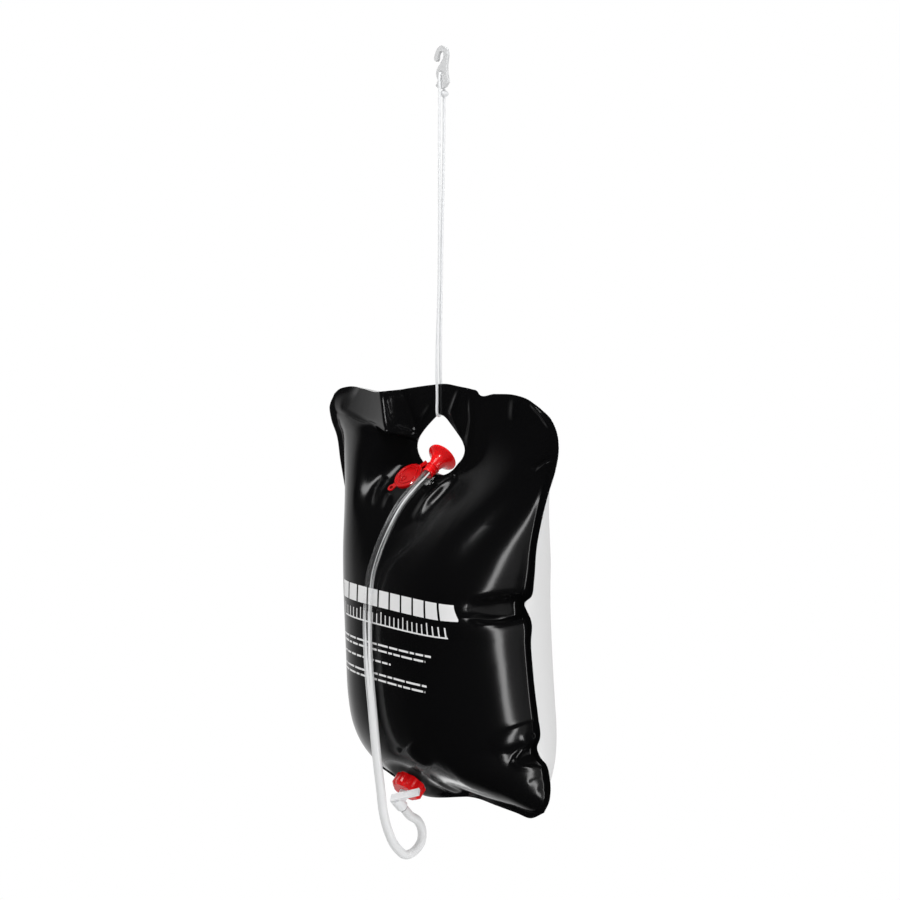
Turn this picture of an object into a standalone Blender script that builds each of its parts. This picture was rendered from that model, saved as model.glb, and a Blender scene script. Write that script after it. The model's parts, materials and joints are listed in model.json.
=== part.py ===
"""A hanging camp shower: a welded water bag on a rope, with a filler, a tap, a hose and a rose.

Metres, +Z up. The origin is the point of the hook that hangs on a branch or a line.
The black front sheet of the bag faces -Y, and +X is to the right of someone who looks at it.
"""

import math

import bmesh
import bpy
import numpy as np
from mathutils import Matrix, Vector

# Clearances
GAP = 0.0003
TURN_GAP = 0.0004

# Hook
HOOK_THICKNESS = 0.0045
HOOK_EDGE = 0.0008
ROPE_EYE_RADIUS = 0.0032
ROPE_EYE_DROP = 0.0282
ROPE_EYE_X = 0.0016

# Rope, from the eye of the hook down to the bag's handle
ROPE_DIAMETER = 0.0038
ROPE_DROP = 0.4525
ROPE_EASE = 0.0004
ROPE_POINTS = 80
ROPE_BEND = 0.040
KNOT_DROP = 0.0265
KNOT_RADIUS = 0.0058

# Water bag: two sheets welded together along a flat rim
SHEET = 0.0005
RIM = 0.010
BAG_HEIGHT = 0.560
HANDLE_STRIP = 0.040
TOP_HALF_WIDTH = 0.201
EAR_HALF_WIDTH = 0.217
WAIST_HALF_WIDTH = 0.159
LEFT_FOOT_HALF_WIDTH = 0.171
RIGHT_FOOT_HALF_WIDTH = 0.190
SHOULDER_DROP = 0.066
WAIST_DROP = BAG_HEIGHT * 0.507
LOW_WAIST_DROP = BAG_HEIGHT * 0.679
FOOT_RISE = 0.048
FOOT_DROP = BAG_HEIGHT - FOOT_RISE
EAR_CORNER = 0.045
SHOULDER_CORNER = 0.095
LEFT_FOOT_CORNER = 0.125
RIGHT_FOOT_CORNER = 0.045
FRONT_BULGE = 0.106
BACK_BULGE = 0.140
FRONT_FULLNESS = 3.8
BACK_FULLNESS = 3.6
UPPER_FULLNESS = 3.0
FRONT_LOWER_FULLNESS = 7.0
BACK_LOWER_FULLNESS = 8.0
SEAM_Y = 0.0

# Handle hole and the flat weld round it
HANDLE_WIDTH = 0.088
HANDLE_HEIGHT = 0.082
HANDLE_APEX_X = -0.004
WELD_HALF_WIDTH = 0.062
WELD_BELOW = 0.060
WELD_CENTRE_DROP = 0.034
WELD_RISE = 0.048

# Half the length of the cut that seats a fitting in the front sheet
SEAT_CUT = 0.014

# Filler on the slope under the handle
FILLER_X = -0.038
FILLER_DROP = 0.129
FILLER_DEPTH = 0.019
FILLER_TILT = math.radians(45)
FILLER_FLAT_RADIUS = 0.020
FILLER_BLEND_RADIUS = 0.046
FILLER_FLANGE_RADIUS = 0.017
FILLER_FLANGE = 0.0016
FILLER_NECK_RADIUS = 0.0120
FILLER_BORE_RADIUS = 0.0104
FILLER_NECK = 0.0066
STRAP_THICKNESS = 0.0013
STRAP_WIDTH = 0.0085
STRAP_RING = 0.0024
STRAP_HEIGHT = 0.0034
HINGE_REACH = 0.0315
HINGE_POST = 0.0036
HINGE_TURN = math.radians(-34)
CAP_RADIUS = 0.0212
CAP_THICKNESS = 0.0016
CAP_SKIRT = 0.0020
PLUG_WALL = 0.0012
PLUG_DEPTH = 0.0042
TAB_REACH = 0.0275
TAB_RADIUS = 0.0056
TAB_HOLE_RADIUS = 0.0028

# Outlet and tap at the foot of the front sheet, on one plane X = 0
OUTLET_RISE = 0.034
OUTLET_DROP = BAG_HEIGHT - OUTLET_RISE
OUTLET_DEPTH = 0.056
OUTLET_TILT = math.radians(-44)
OUTLET_FLAT_RADIUS = 0.014
OUTLET_BLEND_RADIUS = 0.044
SPOUT_FLANGE_RADIUS = 0.020
SPOUT_FLANGE = 0.0016
SPOUT_RADIUS = 0.0120
SPOUT_BORE_RADIUS = 0.0090
SPOUT_LENGTH = 0.0100
GASKET = 0.0020
GASKET_RADIUS = 0.0116
COLLAR = 0.0024
COLLAR_RADIUS = 0.0116
NUT_START = 0.0022
NUT_RADIUS = 0.0198
NUT_LOBE = 0.0022
NUT_LOBES = 8
NUT_WALL = 0.0030
INLET_RADIUS = 0.0070
INLET_BORE_RADIUS = 0.0044
BARREL_OUT = 0.0360
BARREL_RADIUS = 0.0080
BARREL_BORE_RADIUS = 0.0052
BARREL_HALF = 0.0088
OUTLET_NECK_RADIUS = 0.0056
LEG_SHOULDER = 0.0030
BARB_RADIUS = 0.0040
BARB_RIDGE = 0.0006
BARB_LENGTH = 0.0160
BARB_BORE_RADIUS = 0.0026
PLUG_BORE_RADIUS = 0.0026
O_RING = 0.0006
LEVER_LENGTH = 0.0370
LEVER_WIDTH = 0.0100
LEVER_THICKNESS = 0.0036
LEVER_CLOSED = math.radians(26)
STEM_HALF = 0.0026
STEM_RISE = 0.0022

# Hose, a clear tube pushed over both barbs
HOSE_DIAMETER = 0.0120
HOSE_BORE = 0.0092
HOSE_POINTS = 76
HOSE_BEND = 0.010

# Course of the hose: X, distance out as a share of the front's bulge, and height from tap to rose
HOSE_COURSE = (
    (0.0000, -0.430, -0.027), (0.0000, -0.357, -0.058), (0.0000, -0.368, -0.090), (0.0000, -0.491, -0.114),
    (0.0000, -0.636, -0.118), (-0.0010, -0.811, -0.086), (-0.0030, -0.943, -0.027), (-0.0060, -0.991, 0.027),
    (-0.0080, -1.010, 0.084), (-0.0120, -1.038, 0.180), (-0.0180, -1.062, 0.327), (-0.0240, -1.074, 0.470),
    (-0.0240, -1.074, 0.645), (-0.0200, -1.066, 0.718), (-0.0135, -1.028, 0.776), (-0.0035, -0.929, 0.855),
    (-0.0020, -0.727, 0.920), (-0.0020, -0.481, 0.967),
)

# Rose: a trumpet with its own barb, hung in the handle hole
ROSE_X = -0.002
ROSE_RIM_Y = 0.0055
ROSE_RIM_DROP = 0.0579
ROSE_TILT = math.radians(36)
ROSE_RADIUS = 0.0212
ROSE_LIP = 0.0030
ROSE_LENGTH = 0.0245
ROSE_WALL = 0.0016
COLLAR_BACK_RADIUS = 0.0066
NECK_RADIUS = 0.0056
ROSE_BARB_LENGTH = 0.0180
ROSE_BARB_BORE = 0.0026
ROSE_PLATE = 0.0014
JET_RADIUS = 0.0008
JET_RINGS = ((0.0000, 1), (0.0058, 6), (0.0112, 12), (0.0162, 18))

EYE_Z = -ROPE_EYE_DROP
APEX_Z = EYE_Z - ROPE_DROP
TOP_Z = APEX_Z + HANDLE_STRIP
FOOT_Z = TOP_Z - BAG_HEIGHT
ROPE_RADIUS = ROPE_DIAMETER / 2
HOSE_RADIUS = HOSE_DIAMETER / 2

PLASTIC_WHITE = ("white_plastic", (0.86, 0.87, 0.88, 1), 0.35)
PLASTIC_RED = ("red_plastic", (0.72, 0.012, 0.010, 1), 0.28)
BLACK_PVC = ("black_pvc", (0.006, 0.006, 0.007, 1), 0.22)
CLEAR_PVC = ("clear_pvc", (0.80, 0.81, 0.82, 1), 0.18)
BLACK_PLASTIC = ("black_plastic", (0.012, 0.012, 0.013, 1), 0.40)
RUBBER = ("rubber", (0.02, 0.02, 0.02, 1), 0.70)
CORD_WHITE = ("white_cord", (0.82, 0.83, 0.84, 1), 0.80)


def clear_scene():
    for obj in list(bpy.data.objects):
        bpy.data.objects.remove(obj, do_unlink=True)


def material(spec, name):
    """A Principled material of its own for one sub-part."""
    colour, roughness = spec[1], spec[2]
    made = bpy.data.materials.new(name + "_" + spec[0])
    made.use_nodes = True
    shader = made.node_tree.nodes["Principled BSDF"]
    shader.inputs["Base Color"].default_value = colour
    shader.inputs["Roughness"].default_value = roughness
    shader.inputs["Metallic"].default_value = 0.0
    made.diffuse_color = colour
    return made


def add_object(name, mesh, spec, place=None):
    obj = bpy.data.objects.new(name, mesh)
    bpy.context.scene.collection.objects.link(obj)
    if spec is not None:
        mesh.materials.append(material(spec, name))
    if place is not None:
        obj.matrix_world = place
    return obj


def mesh_from(name, bm):
    bmesh.ops.recalc_face_normals(bm, faces=bm.faces)
    mesh = bpy.data.meshes.new(name)
    bm.to_mesh(mesh)
    bm.free()
    mesh.shade_smooth()
    mesh.set_sharp_from_angle(angle=math.radians(35))
    return mesh


def turned(name, profile, steps=32):
    """A closed ring of revolution about Z, from a closed profile of (radius, height) points."""
    bm = bmesh.new()
    rings = []
    for step in range(steps):
        angle = math.tau * step / steps
        c, s = math.cos(angle), math.sin(angle)
        rings.append([bm.verts.new((r * c, r * s, h)) for r, h in profile])
    count = len(profile)
    for step in range(steps):
        here, there = rings[step], rings[(step + 1) % steps]
        for i in range(count):
            j = (i + 1) % count
            bm.faces.new((here[i], here[j], there[j], there[i]))
    return mesh_from(name, bm)


def spun(name, profile, steps=32):
    """A solid of revolution about Z, whose profile starts and ends on the axis."""
    bm = bmesh.new()
    low = bm.verts.new((0, 0, profile[0][1]))
    high = bm.verts.new((0, 0, profile[-1][1]))
    inner = profile[1:-1]
    rings = []
    for step in range(steps):
        angle = math.tau * step / steps
        c, s = math.cos(angle), math.sin(angle)
        rings.append([bm.verts.new((r * c, r * s, h)) for r, h in inner])
    for step in range(steps):
        here, there = rings[step], rings[(step + 1) % steps]
        bm.faces.new((low, here[0], there[0]))
        bm.faces.new((high, there[-1], here[-1]))
        for i in range(len(inner) - 1):
            bm.faces.new((here[i], here[i + 1], there[i + 1], there[i]))
    return mesh_from(name, bm)


def cylinder(name, radius, low, high, steps=32):
    return spun(name, [(0, low), (radius, low), (radius, high), (0, high)], steps)


def block(name, low, high):
    bm = bmesh.new()
    bmesh.ops.create_cube(bm, size=1.0)
    size = Vector(high) - Vector(low)
    middle = (Vector(high) + Vector(low)) / 2
    for vert in bm.verts:
        vert.co = Vector((vert.co.x * size.x, vert.co.y * size.y, vert.co.z * size.z)) + middle
    return mesh_from(name, bm)


def joined(name, meshes):
    """One mesh of several closed ones, so that a single cut uses them all."""
    bm = bmesh.new()
    for mesh in meshes:
        bm.from_mesh(mesh)
    return mesh_from(name, bm)


def combine(target, meshes, operation, place=None, overlapping=False):
    """Adds Boolean modifiers that join the meshes to an object or cut them from it."""
    for number, mesh in enumerate(meshes):
        helper = add_object(target.name + "_" + operation.lower() + "_" + str(number), mesh, None, place)
        helper.hide_render = True
        helper.display_type = "WIRE"
        modifier = target.modifiers.new(helper.name, "BOOLEAN")
        modifier.operation = operation
        modifier.solver = "EXACT"
        modifier.use_self = overlapping
        modifier.object = helper


def smooth_step(value):
    value = np.clip(value, 0, 1)
    return value * value * (3 - 2 * value)


def corner_cut(distance, radius):
    """How far a rounded corner draws the side in, at a distance from the end."""
    reach = np.clip(distance, 0, radius)
    return radius - np.sqrt(np.maximum(0, radius**2 - (radius - reach) ** 2))


def half_width(z, side):
    """Distance from the bag's middle to its edge on the left (-1) or right (+1) side."""
    drop = TOP_Z - z
    top = EAR_HALF_WIDTH if side < 0 else TOP_HALF_WIDTH
    if drop < WAIST_DROP:
        share = smooth_step((drop - SHOULDER_DROP) / (WAIST_DROP - SHOULDER_DROP))
        width = top + (WAIST_HALF_WIDTH - top) * share ** 0.6
    else:
        share = smooth_step((drop - LOW_WAIST_DROP) / (FOOT_DROP - LOW_WAIST_DROP))
        foot = LEFT_FOOT_HALF_WIDTH if side < 0 else RIGHT_FOOT_HALF_WIDTH
        width = WAIST_HALF_WIDTH + (foot - WAIST_HALF_WIDTH) * share
    width = width - corner_cut(drop, EAR_CORNER if side < 0 else SHOULDER_CORNER)
    return width - corner_cut(z - FOOT_Z, LEFT_FOOT_CORNER if side < 0 else RIGHT_FOOT_CORNER)


def swell(x, z, bulge, fullness, lower_fullness):
    """How far a sheet stands off the seam's plane when the bag is full."""
    inner = half_width(z, -1 if x < 0 else 1) - RIM
    along = np.clip((TOP_Z - RIM - z) / (BAG_HEIGHT - 2 * RIM), 0, 1)
    power = UPPER_FULLNESS if along < 0.5 else lower_fullness
    upright = 1 - abs(2 * along - 1) ** power
    across = max(0, 1 - abs(x / max(inner, RIM)) ** fullness)
    below = max(0, APEX_Z - WELD_CENTRE_DROP - z)
    off_weld = math.hypot(x / WELD_HALF_WIDTH, below / WELD_BELOW) - 1
    lift = 1 - math.exp(-((max(0, off_weld) * WELD_BELOW / WELD_RISE) ** 1.25))
    return bulge * upright * across * lift


class Fitting:
    """A place on the front sheet for a moulded piece: its centre and the axis out of the bag."""

    def __init__(self, x, drop, depth, tilt, inner, outer):
        self.centre = Vector((x, SEAM_Y - depth, TOP_Z - drop))
        self.axis = Vector((0, -math.cos(tilt), math.sin(tilt)))
        self.inner = inner
        self.outer = outer

    def weight(self, x, z):
        distance = math.hypot(x - self.centre.x, z - self.centre.z)
        return float(smooth_step((self.outer - distance) / (self.outer - self.inner)))

    def depth(self, z):
        """Depth at which the flat round this fitting stands off the seam."""
        return SEAM_Y - self.centre.y - self.axis.z / self.axis.y * (self.centre.z - z)

    def frame(self, turn=0.0):
        """Matrix with +Z along the axis out of the bag and +X along the row's X before the turn."""
        across = Vector((1, 0, 0))
        up = self.axis.cross(across)
        basis = Matrix((across, up, self.axis)).transposed().to_4x4()
        return Matrix.Translation(self.centre) @ basis @ Matrix.Rotation(turn, 4, "Z")


FILLER = Fitting(FILLER_X, FILLER_DROP, FILLER_DEPTH, FILLER_TILT, FILLER_FLAT_RADIUS, FILLER_BLEND_RADIUS)
OUTLET = Fitting(0, OUTLET_DROP, OUTLET_DEPTH, OUTLET_TILT, OUTLET_FLAT_RADIUS, OUTLET_BLEND_RADIUS)


def front_depth(x, z):
    depth = swell(x, z, FRONT_BULGE, FRONT_FULLNESS, FRONT_LOWER_FULLNESS)
    for fitting in (FILLER, OUTLET):
        weight = fitting.weight(x, z)
        depth += weight * (max(0, fitting.depth(z)) - depth)
    return depth


def back_depth(x, z):
    return swell(x, z, BACK_BULGE, BACK_FULLNESS, BACK_LOWER_FULLNESS)


def row_heights(count):
    """Heights of the sheet's rows: close together in the rounded ends, even between them."""
    share = np.linspace(0, 1, count)
    eased = share - 0.75 * np.sin(math.tau * share) / math.tau
    return TOP_Z - BAG_HEIGHT * eased


def sheet(name, depth, side, columns, rows, spec):
    """One welded sheet: a grid from seam to seam, given its thickness away from the water."""
    bm = bmesh.new()
    grid = []
    shares = np.linspace(-1, 1, columns)
    for z in row_heights(rows):
        line = []
        for share in shares:
            edge = half_width(z, -1 if share < 0 else 1)
            x = float(share * edge)
            line.append(bm.verts.new((x, SEAM_Y + side * (GAP / 2 + depth(x, z)), z)))
        grid.append(line)
    for upper, lower in zip(grid, grid[1:]):
        for i in range(columns - 1):
            quad = (upper[i], upper[i + 1], lower[i + 1], lower[i])
            bm.faces.new(quad if side > 0 else quad[::-1])
    mesh = bpy.data.meshes.new(name)
    bm.to_mesh(mesh)
    bm.free()
    mesh.shade_smooth()
    obj = add_object(name, mesh, spec)
    wall = obj.modifiers.new("wall", "SOLIDIFY")
    wall.thickness = SHEET
    wall.offset = 1 if mesh.polygons[0].normal.y * side > 0 else -1
    wall.use_even_offset = True
    return obj


def handle_outline():
    """The hole's teardrop, pulled to a point by the rope: two sloping sides and a round bottom."""
    half = HANDLE_WIDTH / 2
    lowest = APEX_Z - HANDLE_HEIGHT
    widest = APEX_Z - HANDLE_HEIGHT * 0.50
    points = []
    for step in range(17):
        angle = math.pi * step / 16
        points.append((half * math.cos(angle), widest - (widest - lowest) * math.sin(angle)))
    for step in range(1, 6):
        share = step / 6
        points.append((-half + (half + HANDLE_APEX_X) * share**1.25, widest + (APEX_Z - widest) * share))
    points.append((HANDLE_APEX_X, APEX_Z))
    for step in range(5, 0, -1):
        share = step / 6
        points.append((half - (half - HANDLE_APEX_X) * share**1.25, widest + (APEX_Z - widest) * share))
    return points


def prism(name, outline, low_y, high_y):
    """A closed prism along Y over an outline of (x, z) points."""
    bm = bmesh.new()
    near = [bm.verts.new((x, low_y, z)) for x, z in outline]
    far = [bm.verts.new((x, high_y, z)) for x, z in outline]
    bm.faces.new(near)
    bm.faces.new(far[::-1])
    for i in range(len(outline)):
        j = (i + 1) % len(outline)
        bm.faces.new((near[i], far[i], far[j], near[j]))
    return mesh_from(name, bm)


def make_bag():
    front = sheet("bag_front_sheet", front_depth, -1, 31, 38, BLACK_PVC)
    back = sheet("bag_back_sheet", back_depth, 1, 21, 27, CLEAR_PVC)
    reach = 4 * RIM
    hole = prism("handle_hole", handle_outline(), SEAM_Y - reach, SEAM_Y + reach)
    filler = cylinder("filler_seat", FILLER_FLANGE_RADIUS + GAP, -SEAT_CUT, SEAT_CUT)
    outlet = cylinder("outlet_seat", SPOUT_FLANGE_RADIUS + GAP, -SEAT_CUT, SEAT_CUT)
    filler.transform(FILLER.frame())
    outlet.transform(OUTLET.frame())
    combine(front, [joined("front_cuts", [hole, filler, outlet])], "DIFFERENCE", overlapping=True)
    combine(back, [hole.copy()], "DIFFERENCE")


def hook_outline():
    """Half-round hook above a tapering shank that ends in two short barbs."""
    return [
        (0.0022, 0.0083), (0.0080, 0.0068), (0.0127, 0.0022), (0.0141, -0.0050), (0.0130, -0.0125),
        (0.0119, -0.0195), (0.0122, -0.0265), (0.0131, -0.0335), (0.0149, -0.0415), (0.0098, -0.0472),
        (0.0028, -0.0490), (-0.0042, -0.0478), (-0.0080, -0.0436), (-0.0042, -0.0372), (-0.0068, -0.0322),
        (-0.0073, -0.0275), (-0.0060, -0.0225), (-0.0033, -0.0185), (0.0010, -0.0140), (0.0048, -0.0095),
        (0.0062, -0.0052), (0.0052, -0.0014), (0.0020, 0.0002), (-0.0012, -0.0012), (-0.0028, -0.0050),
        (-0.0030, -0.0090), (-0.0048, -0.0117), (-0.0078, -0.0118), (-0.0106, -0.0096), (-0.0112, -0.0060),
        (-0.0092, -0.0012), (-0.0062, 0.0040), (-0.0022, 0.0072),
    ]


def make_hook():
    half = HOOK_THICKNESS / 2
    obj = add_object("hook", prism("hook", hook_outline(), -half, half), PLASTIC_WHITE)
    bevel = obj.modifiers.new("edges", "BEVEL")
    bevel.width = HOOK_EDGE
    bevel.segments = 2
    bevel.limit_method = "ANGLE"
    bevel.angle_limit = math.radians(60)
    along_y = Matrix.Translation((ROPE_EYE_X, 0, EYE_Z)) @ Matrix.Rotation(math.radians(90), 4, "X")
    reach = HOOK_THICKNESS
    combine(obj, [cylinder("rope_eye", ROPE_EYE_RADIUS, -reach, reach, 16)], "DIFFERENCE", along_y)


def smooth_path(points, count, bend):
    """Points on a smooth curve through the route's own points, closer together where it bends."""
    points = [Vector(point) for point in points]
    gaps = [(q - p).length for p, q in zip(points, points[1:])]
    slopes = [(q - p) / gap for p, q, gap in zip(points, points[1:], gaps)]
    tangents = [slopes[0]]
    for i in range(1, len(slopes)):
        tangents.append((slopes[i] * gaps[i - 1] + slopes[i - 1] * gaps[i]) / (gaps[i] + gaps[i - 1]))
    tangents.append(slopes[-1])
    fine = []
    for i, gap in enumerate(gaps):
        for step in range(24):
            t = step / 24
            start, end = points[i] * (1 + 2 * t) * (1 - t) ** 2, points[i + 1] * t * t * (3 - 2 * t)
            leave, arrive = tangents[i] * gap * t * (1 - t) ** 2, tangents[i + 1] * gap * t * t * (t - 1)
            fine.append(start + end + leave + arrive)
    fine.append(points[-1])
    steps = [q - p for p, q in zip(fine, fine[1:])]
    turns = [0.0] + [p.angle(q, 0.0) for p, q in zip(steps, steps[1:])]
    measure = np.concatenate([[0], np.cumsum([s.length + bend * t for s, t in zip(steps, turns)])])
    array = np.array([tuple(point) for point in fine])
    wanted = np.linspace(0, measure[-1], count)
    return [Vector(tuple(np.interp(at, measure, array[:, k]) for k in range(3))) for at in wanted]


def tube(name, points, radius, sides, spec):
    data = bpy.data.curves.new(name, "CURVE")
    data.dimensions = "3D"
    data.bevel_depth = radius
    data.bevel_resolution = sides
    data.use_fill_caps = True
    spline = data.splines.new("POLY")
    spline.points.add(len(points) - 1)
    for target, point in zip(spline.points, points):
        target.co = (*point, 1)
    obj = bpy.data.objects.new(name, data)
    bpy.context.scene.collection.objects.link(obj)
    data.materials.append(material(spec, name))
    return obj


def half_turn(centre_y, centre_z, radius, upward):
    """Points (y, z) of a half circle from the front of its centre to the back, or the reverse of it."""
    points = []
    for step in range(9):
        angle = math.pi * step / 8
        rise = math.sin(angle) * (1 if upward else -1)
        points.append((centre_y - radius * math.cos(angle), centre_z + radius * rise))
    return points


def make_rope():
    """A loop through the hook's eye and the handle, whose two ends meet in a knot."""
    eye_turn = HOOK_THICKNESS / 2 + ROPE_RADIUS + GAP
    strip_turn = SHEET + GAP / 2 + ROPE_RADIUS + GAP + ROPE_EASE
    knot_z = EYE_Z - KNOT_DROP
    end_gap = KNOT_RADIUS * 0.80 + GAP
    x, eye = HANDLE_APEX_X, ROPE_EYE_X
    points = [(eye, eye_turn, knot_z - end_gap), (eye, eye_turn, knot_z - end_gap - 0.020)]
    points += [(eye * 0.7 + x * 0.3, SEAM_Y + strip_turn - 0.001, knot_z - 0.200)]
    points += [(x, SEAM_Y + strip_turn, TOP_Z + 0.020)]
    under = half_turn(SEAM_Y, APEX_Z + 0.0004, strip_turn, False)[::-1]
    points += [(x, y, z) for y, z in under]
    points += [(x, SEAM_Y - strip_turn, APEX_Z + 0.020), (x, SEAM_Y - strip_turn - 0.0006, TOP_Z + 0.010)]
    points += [(eye * 0.4 + x * 0.6, -0.0020, TOP_Z + 0.140)]
    points += [(eye, -eye_turn - 0.0004, EYE_Z - 0.080), (eye, -eye_turn, EYE_Z - 0.020)]
    over = half_turn(0, EYE_Z - eye_turn + 0.0006, eye_turn, True)
    points += [(eye, y, z) for y, z in over]
    points += [(eye, eye_turn, EYE_Z - 0.014), (eye, eye_turn, knot_z + end_gap)]
    tube("rope", smooth_path(points, ROPE_POINTS, ROPE_BEND), ROPE_RADIUS, 2, CORD_WHITE)
    profile = []
    for step in range(13):
        angle = math.pi * (step / 12 - 0.5)
        radius = KNOT_RADIUS * math.cos(angle) * (1 + 0.10 * math.cos(3 * angle))
        profile.append((abs(radius), KNOT_RADIUS * 0.80 * math.sin(angle)))
    place = Matrix.Translation((eye, eye_turn, knot_z))
    add_object("rope_knot", spun("rope_knot", profile, 16), CORD_WHITE, place)


def strap_direction():
    """The strap's direction in the filler's own frame: along +Y, up the slope, then turned."""
    return FILLER.frame(HINGE_TURN)


def make_filler():
    """Flange, neck, strap ring, and the cap with its plug, tab and strap end."""
    place = strap_direction()
    neck = [
        (FILLER_BORE_RADIUS, -FILLER_FLANGE), (FILLER_FLANGE_RADIUS, -FILLER_FLANGE), (FILLER_FLANGE_RADIUS, 0),
        (FILLER_NECK_RADIUS, 0), (FILLER_NECK_RADIUS, FILLER_NECK), (FILLER_BORE_RADIUS, FILLER_NECK),
    ]
    add_object("filler_neck", turned("filler_neck", neck), BLACK_PLASTIC, place)

    inner = FILLER_NECK_RADIUS + GAP
    low, high = STRAP_HEIGHT, STRAP_HEIGHT + STRAP_THICKNESS
    ring = turned("strap_ring", [(inner, low), (inner + STRAP_RING, low), (inner + STRAP_RING, high), (inner, high)])
    strap = add_object("filler_strap", ring, PLASTIC_RED, place)
    half = STRAP_WIDTH / 2
    post_top = FILLER_NECK + GAP - GAP
    arm = block("arm", (-half, inner + STRAP_RING / 2, low), (half, HINGE_REACH, high))
    post = block("post", (-half, HINGE_REACH - HINGE_POST, low), (half, HINGE_REACH, post_top))
    combine(strap, [arm, post], "UNION", place)

    seat = FILLER_NECK + GAP
    top = seat + CAP_THICKNESS
    plug = FILLER_BORE_RADIUS - GAP
    disc = [
        (0, seat), (plug - PLUG_WALL, seat), (plug - PLUG_WALL, seat - PLUG_DEPTH), (plug - 0.0003, seat - PLUG_DEPTH),
        (plug, seat - PLUG_DEPTH + 0.0006), (plug, seat), (CAP_RADIUS - 0.0016, seat),
        (CAP_RADIUS - 0.0012, seat - CAP_SKIRT), (CAP_RADIUS, seat - CAP_SKIRT), (CAP_RADIUS, top - 0.0003),
        (CAP_RADIUS - 0.0010, top + 0.0006), (CAP_RADIUS - 0.0028, top + 0.0006), (CAP_RADIUS - 0.0036, top), (0, top),
    ]
    cap = add_object("filler_cap", spun("filler_cap", disc, 40), PLASTIC_RED, place)
    tab = cylinder("tab", TAB_RADIUS, seat, top, 20)
    tab.transform(Matrix.Translation((0, -TAB_REACH, 0)))
    link = block("tab_link", (-TAB_RADIUS * 0.8, -TAB_REACH, seat), (TAB_RADIUS * 0.8, -CAP_RADIUS + 0.002, top))
    end = block("strap_end", (-half, CAP_RADIUS - 0.0020, seat), (half, HINGE_REACH, top - 0.0003))
    combine(cap, [tab, link, end], "UNION", place)
    hole = cylinder("tab_hole", TAB_HOLE_RADIUS, seat - 0.001, top + 0.001, 16)
    hole.transform(Matrix.Translation((0, -TAB_REACH, 0)))
    combine(cap, [hole], "DIFFERENCE", place)


def nut_mesh():
    """The lobed cap nut: a fluted skirt with a bore for the spout and a smaller hole for the tap."""
    face = NUT_START + SPOUT_LENGTH + GASKET + COLLAR + 3 * GAP - 0.0005
    top = face + NUT_WALL
    bore = SPOUT_RADIUS + TURN_GAP
    hole = INLET_RADIUS + TURN_GAP
    rings = (
        (bore, NUT_START, 0), (NUT_RADIUS, NUT_START, 1), (NUT_RADIUS, top - 0.0040, 1), (NUT_RADIUS - 0.0030, top, 0.6),
        (hole, top, 0), (hole, face, 0), (bore, face, 0),
    )
    steps = NUT_LOBES * 6
    bm = bmesh.new()
    verts = []
    for step in range(steps):
        angle = math.tau * step / steps
        lobe = abs(math.cos(NUT_LOBES * angle / 2)) * NUT_LOBE
        line = []
        for radius, height, share in rings:
            reach = radius + lobe * share
            line.append(bm.verts.new((reach * math.cos(angle), reach * math.sin(angle), height)))
        verts.append(line)
    for step in range(steps):
        here, there = verts[step], verts[(step + 1) % steps]
        for i in range(len(rings)):
            j = (i + 1) % len(rings)
            bm.faces.new((here[i], here[j], there[j], there[i]))
    return mesh_from("outlet_nut", bm)


def barrel_frame():
    """The tap's own frame: +Z up the barrel, +X along the row's X, its centre out along the axis."""
    place = OUTLET.frame()
    centre = place @ Vector((0, 0, BARREL_OUT))
    up = Vector((0, OUTLET.axis.z, -OUTLET.axis.y))
    across = Vector((1, 0, 0))
    basis = Matrix((across, up.cross(across), up)).transposed().to_4x4()
    return Matrix.Translation(centre) @ basis


def barbed(radius, length, bore, start, ridges=3):
    """Profile of a hose barb along +Z, with its bore, from a start height."""
    profile = [(bore, start), (radius, start)]
    pitch = length / ridges
    for number in range(ridges):
        foot = start + pitch * number
        profile += [(radius, foot + pitch * 0.30), (radius + BARB_RIDGE, foot + pitch * 0.34)]
        profile += [(radius, foot + pitch * 0.95)]
    profile += [(radius - 0.0006, start + length), (bore, start + length)]
    return profile


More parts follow.
